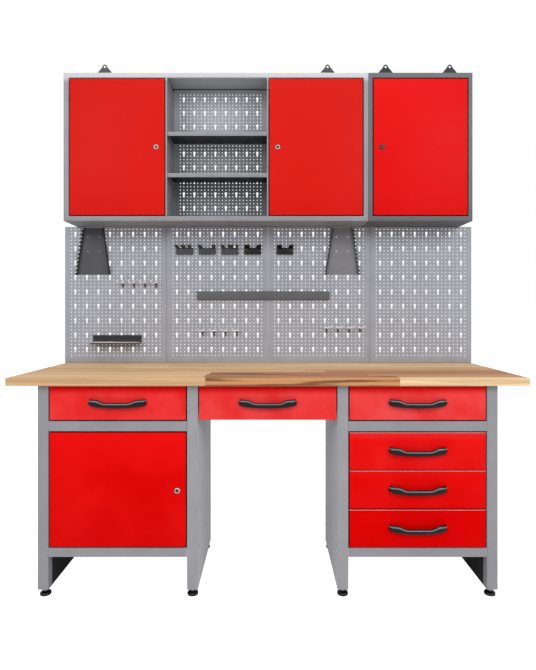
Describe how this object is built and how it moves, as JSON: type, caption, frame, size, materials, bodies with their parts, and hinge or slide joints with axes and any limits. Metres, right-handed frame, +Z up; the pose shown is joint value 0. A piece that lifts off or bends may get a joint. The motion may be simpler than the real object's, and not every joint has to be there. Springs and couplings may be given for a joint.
{
  "type": "workbench with drawers",
  "caption": "Steel workstation: wooden worktop on drawer and cupboard pedestals with a knee space, perforated tool panels behind and wall cabinets above.",
  "frame": {"origin": "on the floor, under the middle of the worktop, at the centre of the bounding box's bottom", "axes": "+Z up, the front with the drawers and doors faces -Y, +X to the right of someone who faces it"},
  "size_m": [2, 0.6, 2.325],
  "materials": {
    "red_coat": "red powder coat, semi-gloss with a fine orange-peel texture",
    "grey_coat": "mid grey powder coat, semi-gloss",
    "panel_coat": "light grey powder coat with rows of round and keyhole punchings",
    "dark_coat": "anthracite powder coat, matt",
    "beech": "oiled, glued from long staves of uneven colour",
    "black_plastic": "black moulded, satin",
    "nickel": "nickel plated"
  },
  "bodies": {
    "workstation": {"worktop": "beech", "left_outer_side": "grey_coat", "left_outer_foot_front": "black_plastic", "left_outer_foot_rear": "black_plastic", "left_inner_side": "grey_coat", "left_inner_foot_front": "black_plastic", "left_inner_foot_rear": "black_plastic", "right_inner_side": "grey_coat", "right_inner_foot_front": "black_plastic", "right_inner_foot_rear": "black_plastic", "right_outer_side": "grey_coat", "right_outer_foot_front": "black_plastic", "right_outer_foot_rear": "black_plastic", "left_upper_rail": "grey_coat", "left_floor_pan": "grey_coat", "left_back_panel": "grey_coat", "right_upper_rail": "grey_coat", "right_floor_pan": "grey_coat", "right_back_panel": "grey_coat", "cupboard_shelf": "grey_coat", "wide_cabinet_shell": "grey_coat", "narrow_cabinet_shell": "grey_coat", "left_divider": "grey_coat", "right_divider": "grey_coat", "open_bay_upper_shelf": "grey_coat", "open_bay_lower_shelf": "grey_coat", "left_bay_shelf": "grey_coat", "right_bay_shelf": "grey_coat", "narrow_cabinet_shelf": "grey_coat", "wide_cabinet_back": "panel_coat", "narrow_cabinet_back": "panel_coat", "tool_panel_1": "panel_coat", "tool_panel_2": "panel_coat", "tool_panel_3": "panel_coat", "tool_panel_4": "panel_coat", "wrench_holder_left": "dark_coat", "wrench_holder_right": "dark_coat", "tool_bar": "dark_coat", "small_shelf": "dark_coat"},
    "drawer_left_top": {"drawer_left_top": "red_coat", "handle_left_top": "black_plastic"},
    "drawer_middle": {"drawer_middle": "red_coat", "handle_middle": "black_plastic"},
    "drawer_right_top": {"drawer_right_top": "red_coat", "handle_right_top": "black_plastic"},
    "drawer_right_1": {"drawer_right_1": "red_coat", "handle_right_1": "black_plastic"},
    "drawer_right_2": {"drawer_right_2": "red_coat", "handle_right_2": "black_plastic"},
    "drawer_right_3": {"drawer_right_3": "red_coat", "handle_right_3": "black_plastic"},
    "bench_door": {"bench_door": "red_coat"},
    "bench_door_lock": {"bench_door_lock": "nickel"},
    "left_cabinet_door": {"left_cabinet_door": "red_coat"},
    "left_cabinet_door_lock": {"left_cabinet_door_lock": "nickel"},
    "middle_cabinet_door": {"middle_cabinet_door": "red_coat"},
    "middle_cabinet_door_lock": {"middle_cabinet_door_lock": "nickel"},
    "right_cabinet_door": {"right_cabinet_door": "red_coat"},
    "right_cabinet_door_lock": {"right_cabinet_door_lock": "nickel"}
  },
  "joints": [
    {"name": "drawer_left_top_slide", "type": "slide", "parent": "workstation", "child": "drawer_left_top", "axis": [0, -1, 0], "range_m": [0, 0.37]},
    {"name": "drawer_middle_slide", "type": "slide", "parent": "workstation", "child": "drawer_middle", "axis": [0, -1, 0], "range_m": [0, 0.37]},
    {"name": "drawer_right_top_slide", "type": "slide", "parent": "workstation", "child": "drawer_right_top", "axis": [0, -1, 0], "range_m": [0, 0.37]},
    {"name": "drawer_right_1_slide", "type": "slide", "parent": "workstation", "child": "drawer_right_1", "axis": [0, -1, 0], "range_m": [0, 0.37]},
    {"name": "drawer_right_2_slide", "type": "slide", "parent": "workstation", "child": "drawer_right_2", "axis": [0, -1, 0], "range_m": [0, 0.37]},
    {"name": "drawer_right_3_slide", "type": "slide", "parent": "workstation", "child": "drawer_right_3", "axis": [0, -1, 0], "range_m": [0, 0.37]},
    {"name": "bench_door_hinge", "type": "hinge", "parent": "workstation", "child": "bench_door", "pos_m": [-0.8456, -0.27, 0.4145], "axis": [0, 0, -1], "range_deg": [0, 105]},
    {"name": "bench_door_lock_turn", "type": "hinge", "parent": "bench_door", "child": "bench_door_lock", "pos_m": [-0.35, -0.27, 0.411], "axis": [0, -1, 0], "range_deg": [0, 90]},
    {"name": "left_cabinet_door_hinge", "type": "hinge", "parent": "workstation", "child": "left_cabinet_door", "pos_m": [-0.9171, 0.12, 1.862], "axis": [0, 0, -1], "range_deg": [0, 105]},
    {"name": "left_cabinet_door_lock_turn", "type": "hinge", "parent": "left_cabinet_door", "child": "left_cabinet_door_lock", "pos_m": [-0.516, 0.12, 1.861], "axis": [0, -1, 0], "range_deg": [0, 90]},
    {"name": "middle_cabinet_door_hinge", "type": "hinge", "parent": "workstation", "child": "middle_cabinet_door", "pos_m": [0.4386, 0.12, 1.862], "axis": [0, 0, 1], "range_deg": [0, 105]},
    {"name": "middle_cabinet_door_lock_turn", "type": "hinge", "parent": "middle_cabinet_door", "child": "middle_cabinet_door_lock", "pos_m": [0.045, 0.12, 1.861], "axis": [0, 1, 0], "range_deg": [0, 90]},
    {"name": "right_cabinet_door_hinge", "type": "hinge", "parent": "workstation", "child": "right_cabinet_door", "pos_m": [0.9216, 0.12, 1.862], "axis": [0, 0, 1], "range_deg": [0, 105]},
    {"name": "right_cabinet_door_lock_turn", "type": "hinge", "parent": "right_cabinet_door", "child": "right_cabinet_door_lock", "pos_m": [0.5254, 0.12, 1.861], "axis": [0, 1, 0], "range_deg": [0, 90]}
  ]
}
